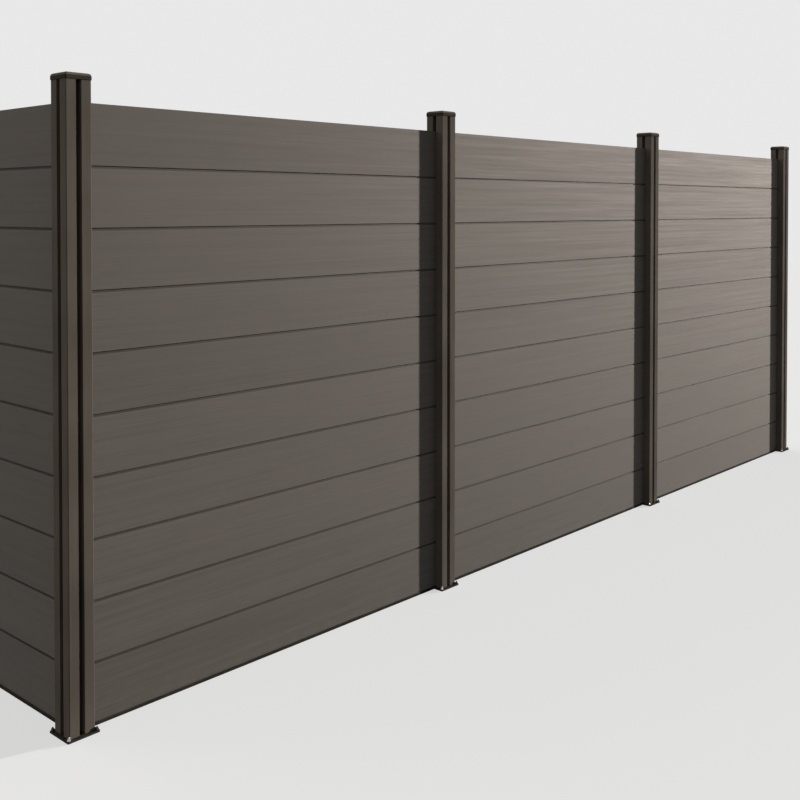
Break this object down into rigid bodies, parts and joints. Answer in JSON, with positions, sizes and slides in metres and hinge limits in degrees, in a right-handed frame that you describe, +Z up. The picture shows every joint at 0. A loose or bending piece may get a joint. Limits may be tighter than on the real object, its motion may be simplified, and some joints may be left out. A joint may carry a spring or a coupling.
{
  "type": "garden privacy screen",
  "caption": "L-shaped garden privacy screen: tongue-and-groove composite boards slid into slotted aluminium posts that stand on bolted base plates.",
  "frame": {"origin": "on the ground, under the axis of the corner post", "axes": "+X along the long run, +Y back along the return, +Z up"},
  "size_m": [5.515, 1.915, 2.0967],
  "materials": {
    "board": "wood-plastic composite, fine brushed grain along the board",
    "post": "extruded, powder-coated dark grey-brown",
    "cap": "cast, powder-coated dark grey-brown",
    "rail": "extruded, powder-coated dark grey-brown",
    "base_plate": "powder-coated steel with plain zinc-plated anchors"
  },
  "bodies": {
    "root": {"corner_base_plate": "base_plate", "corner_post": "post", "corner_cap": "cap", "long_1_base_plate": "base_plate", "long_1_post": "post", "long_1_cap": "cap", "long_2_base_plate": "base_plate", "long_2_post": "post", "long_2_cap": "cap", "long_3_base_plate": "base_plate", "long_3_post": "post", "long_3_cap": "cap", "return_base_plate": "base_plate", "return_post": "post", "return_cap": "cap", "bay_1_bottom_rail": "rail", "bay_1_board_01": "board", "bay_1_board_02": "board", "bay_1_board_03": "board", "bay_1_board_04": "board", "bay_1_board_05": "board", "bay_1_board_06": "board", "bay_1_board_07": "board", "bay_1_board_08": "board", "bay_1_board_09": "board", "bay_1_board_10": "board", "bay_2_bottom_rail": "rail", "bay_2_board_01": "board", "bay_2_board_02": "board", "bay_2_board_03": "board", "bay_2_board_04": "board", "bay_2_board_05": "board", "bay_2_board_06": "board", "bay_2_board_07": "board", "bay_2_board_08": "board", "bay_2_board_09": "board", "bay_2_board_10": "board", "bay_3_bottom_rail": "rail", "bay_3_board_01": "board", "bay_3_board_02": "board", "bay_3_board_03": "board", "bay_3_board_04": "board", "bay_3_board_05": "board", "bay_3_board_06": "board", "bay_3_board_07": "board", "bay_3_board_08": "board", "bay_3_board_09": "board", "bay_3_board_10": "board", "return_bay_bottom_rail": "rail", "return_bay_board_01": "board", "return_bay_board_02": "board", "return_bay_board_03": "board", "return_bay_board_04": "board", "return_bay_board_05": "board", "return_bay_board_06": "board", "return_bay_board_07": "board", "return_bay_board_08": "board", "return_bay_board_09": "board", "return_bay_board_10": "board"}
  },
  "joints": []
}
